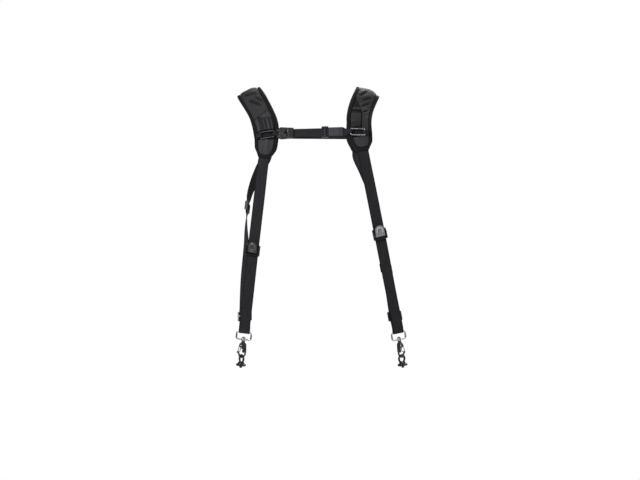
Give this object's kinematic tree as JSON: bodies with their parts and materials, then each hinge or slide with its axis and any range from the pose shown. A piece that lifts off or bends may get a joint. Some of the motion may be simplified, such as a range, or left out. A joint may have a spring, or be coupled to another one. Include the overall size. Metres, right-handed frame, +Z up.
{
  "type": "dual camera harness",
  "caption": "Worn harness with padded shoulder straps, a buckled chest strap and webbing loops that end in swivel hooks with screw-in ring fasteners for cameras.",
  "frame": {"origin": "midway between the undersides of the two shoulder pads at the shoulder crest, where the harness sits on the wearer", "axes": "+Z up, -Y the way the wearer faces, so +X is the wearer's left"},
  "size_m": [0.3867, 0.2406, 0.6317],
  "materials": {
    "webbing": "ribbed nylon webbing",
    "panel": "plain-weave nylon over foam",
    "binding": "matte folded tape",
    "black_plastic": "satin moulded acetal",
    "lever": "grey satin",
    "gunmetal": "dark nickel plate",
    "black_metal": "black oxide",
    "bright_steel": "polished nickel"
  },
  "bodies": {
    "root": {"front_strap_right": "webbing", "front_strap_left": "webbing", "rear_strap_right": "webbing", "rear_strap_left": "webbing", "front_panel_right": "webbing", "front_panel_left": "webbing", "chest_tab_right": "webbing", "chest_tab_left": "webbing", "shoulder_pad_right": "panel", "shoulder_pad_left": "panel", "upper_panel_right": "panel", "upper_panel_left": "panel", "lower_panel_right": "panel", "lower_panel_left": "panel", "pad_binding_right": "binding", "pad_binding_left": "binding", "rear_slider_right": "black_plastic", "rear_slider_left": "black_plastic", "rear_adjuster_right": "black_plastic", "rear_adjuster_left": "black_plastic", "cam_frame_right": "black_plastic", "cam_frame_left": "black_plastic", "swivel_eye_right": "bright_steel", "swivel_eye_left": "bright_steel", "chest_ring_right": "black_metal", "chest_ring_left": "bright_steel", "chest_loop": "webbing", "buckle_socket": "black_plastic", "buckle_plug": "black_plastic", "chest_webbing": "webbing", "chest_doubling": "webbing", "chest_slider": "black_plastic", "back_link": "webbing"},
    "lever_right": {"cam_lever_right": "lever"},
    "hook_right": {"swivel_hook_right": "gunmetal"},
    "gate_right": {"hook_gate_right": "gunmetal"},
    "fastener_right": {"ring_fastener_right": "black_metal"},
    "lever_left": {"cam_lever_left": "lever"},
    "hook_left": {"swivel_hook_left": "gunmetal"},
    "gate_left": {"hook_gate_left": "gunmetal"},
    "fastener_left": {"ring_fastener_left": "black_metal"}
  },
  "joints": [
    {"name": "cam_lever_right_open", "type": "hinge", "parent": "root", "child": "lever_right", "pos_m": [-0.12226, -0.11291, -0.34639], "axis": [0.9715, -0.1901, -0.1415], "range_deg": [0, 95]},
    {"name": "swivel_right", "type": "hinge", "parent": "root", "child": "hook_right", "pos_m": [-0.14546, -0.068, -0.54692], "axis": [0.1045, 0, 0.9945], "continuous": true},
    {"name": "gate_right_open", "type": "hinge", "parent": "hook_right", "child": "gate_right", "pos_m": [-0.15189, -0.07145, -0.56113], "axis": [0.5725, -0.8177, -0.0602], "range_deg": [0, 25], "stiffness_Nm_per_rad": 0.02, "springref_deg": -11.46},
    {"name": "fastener_right_swing", "type": "hinge", "parent": "hook_right", "child": "fastener_right", "pos_m": [-0.15004, -0.068, -0.59048], "axis": [0.8132, 0.5757, -0.0855], "range_deg": [-60, 60]},
    {"name": "cam_lever_left_open", "type": "hinge", "parent": "root", "child": "lever_left", "pos_m": [0.1588, -0.11552, -0.3101], "axis": [0.9598, 0.189, 0.2073], "range_deg": [0, 95]},
    {"name": "swivel_left", "type": "hinge", "parent": "root", "child": "hook_left", "pos_m": [0.20395, -0.068, -0.54686], "axis": [-0.1392, 0, 0.9903], "continuous": true},
    {"name": "gate_left_open", "type": "hinge", "parent": "hook_left", "child": "gate_left", "pos_m": [0.20981, -0.07261, -0.56099], "axis": [0.7616, 0.6391, 0.107], "range_deg": [0, 25], "stiffness_Nm_per_rad": 0.02, "springref_deg": -11.46},
    {"name": "fastener_left_swing", "type": "hinge", "parent": "hook_left", "child": "fastener_left", "pos_m": [0.21004, -0.068, -0.59024], "axis": [-0.6329, 0.7691, -0.0889], "range_deg": [-60, 60]}
  ]
}
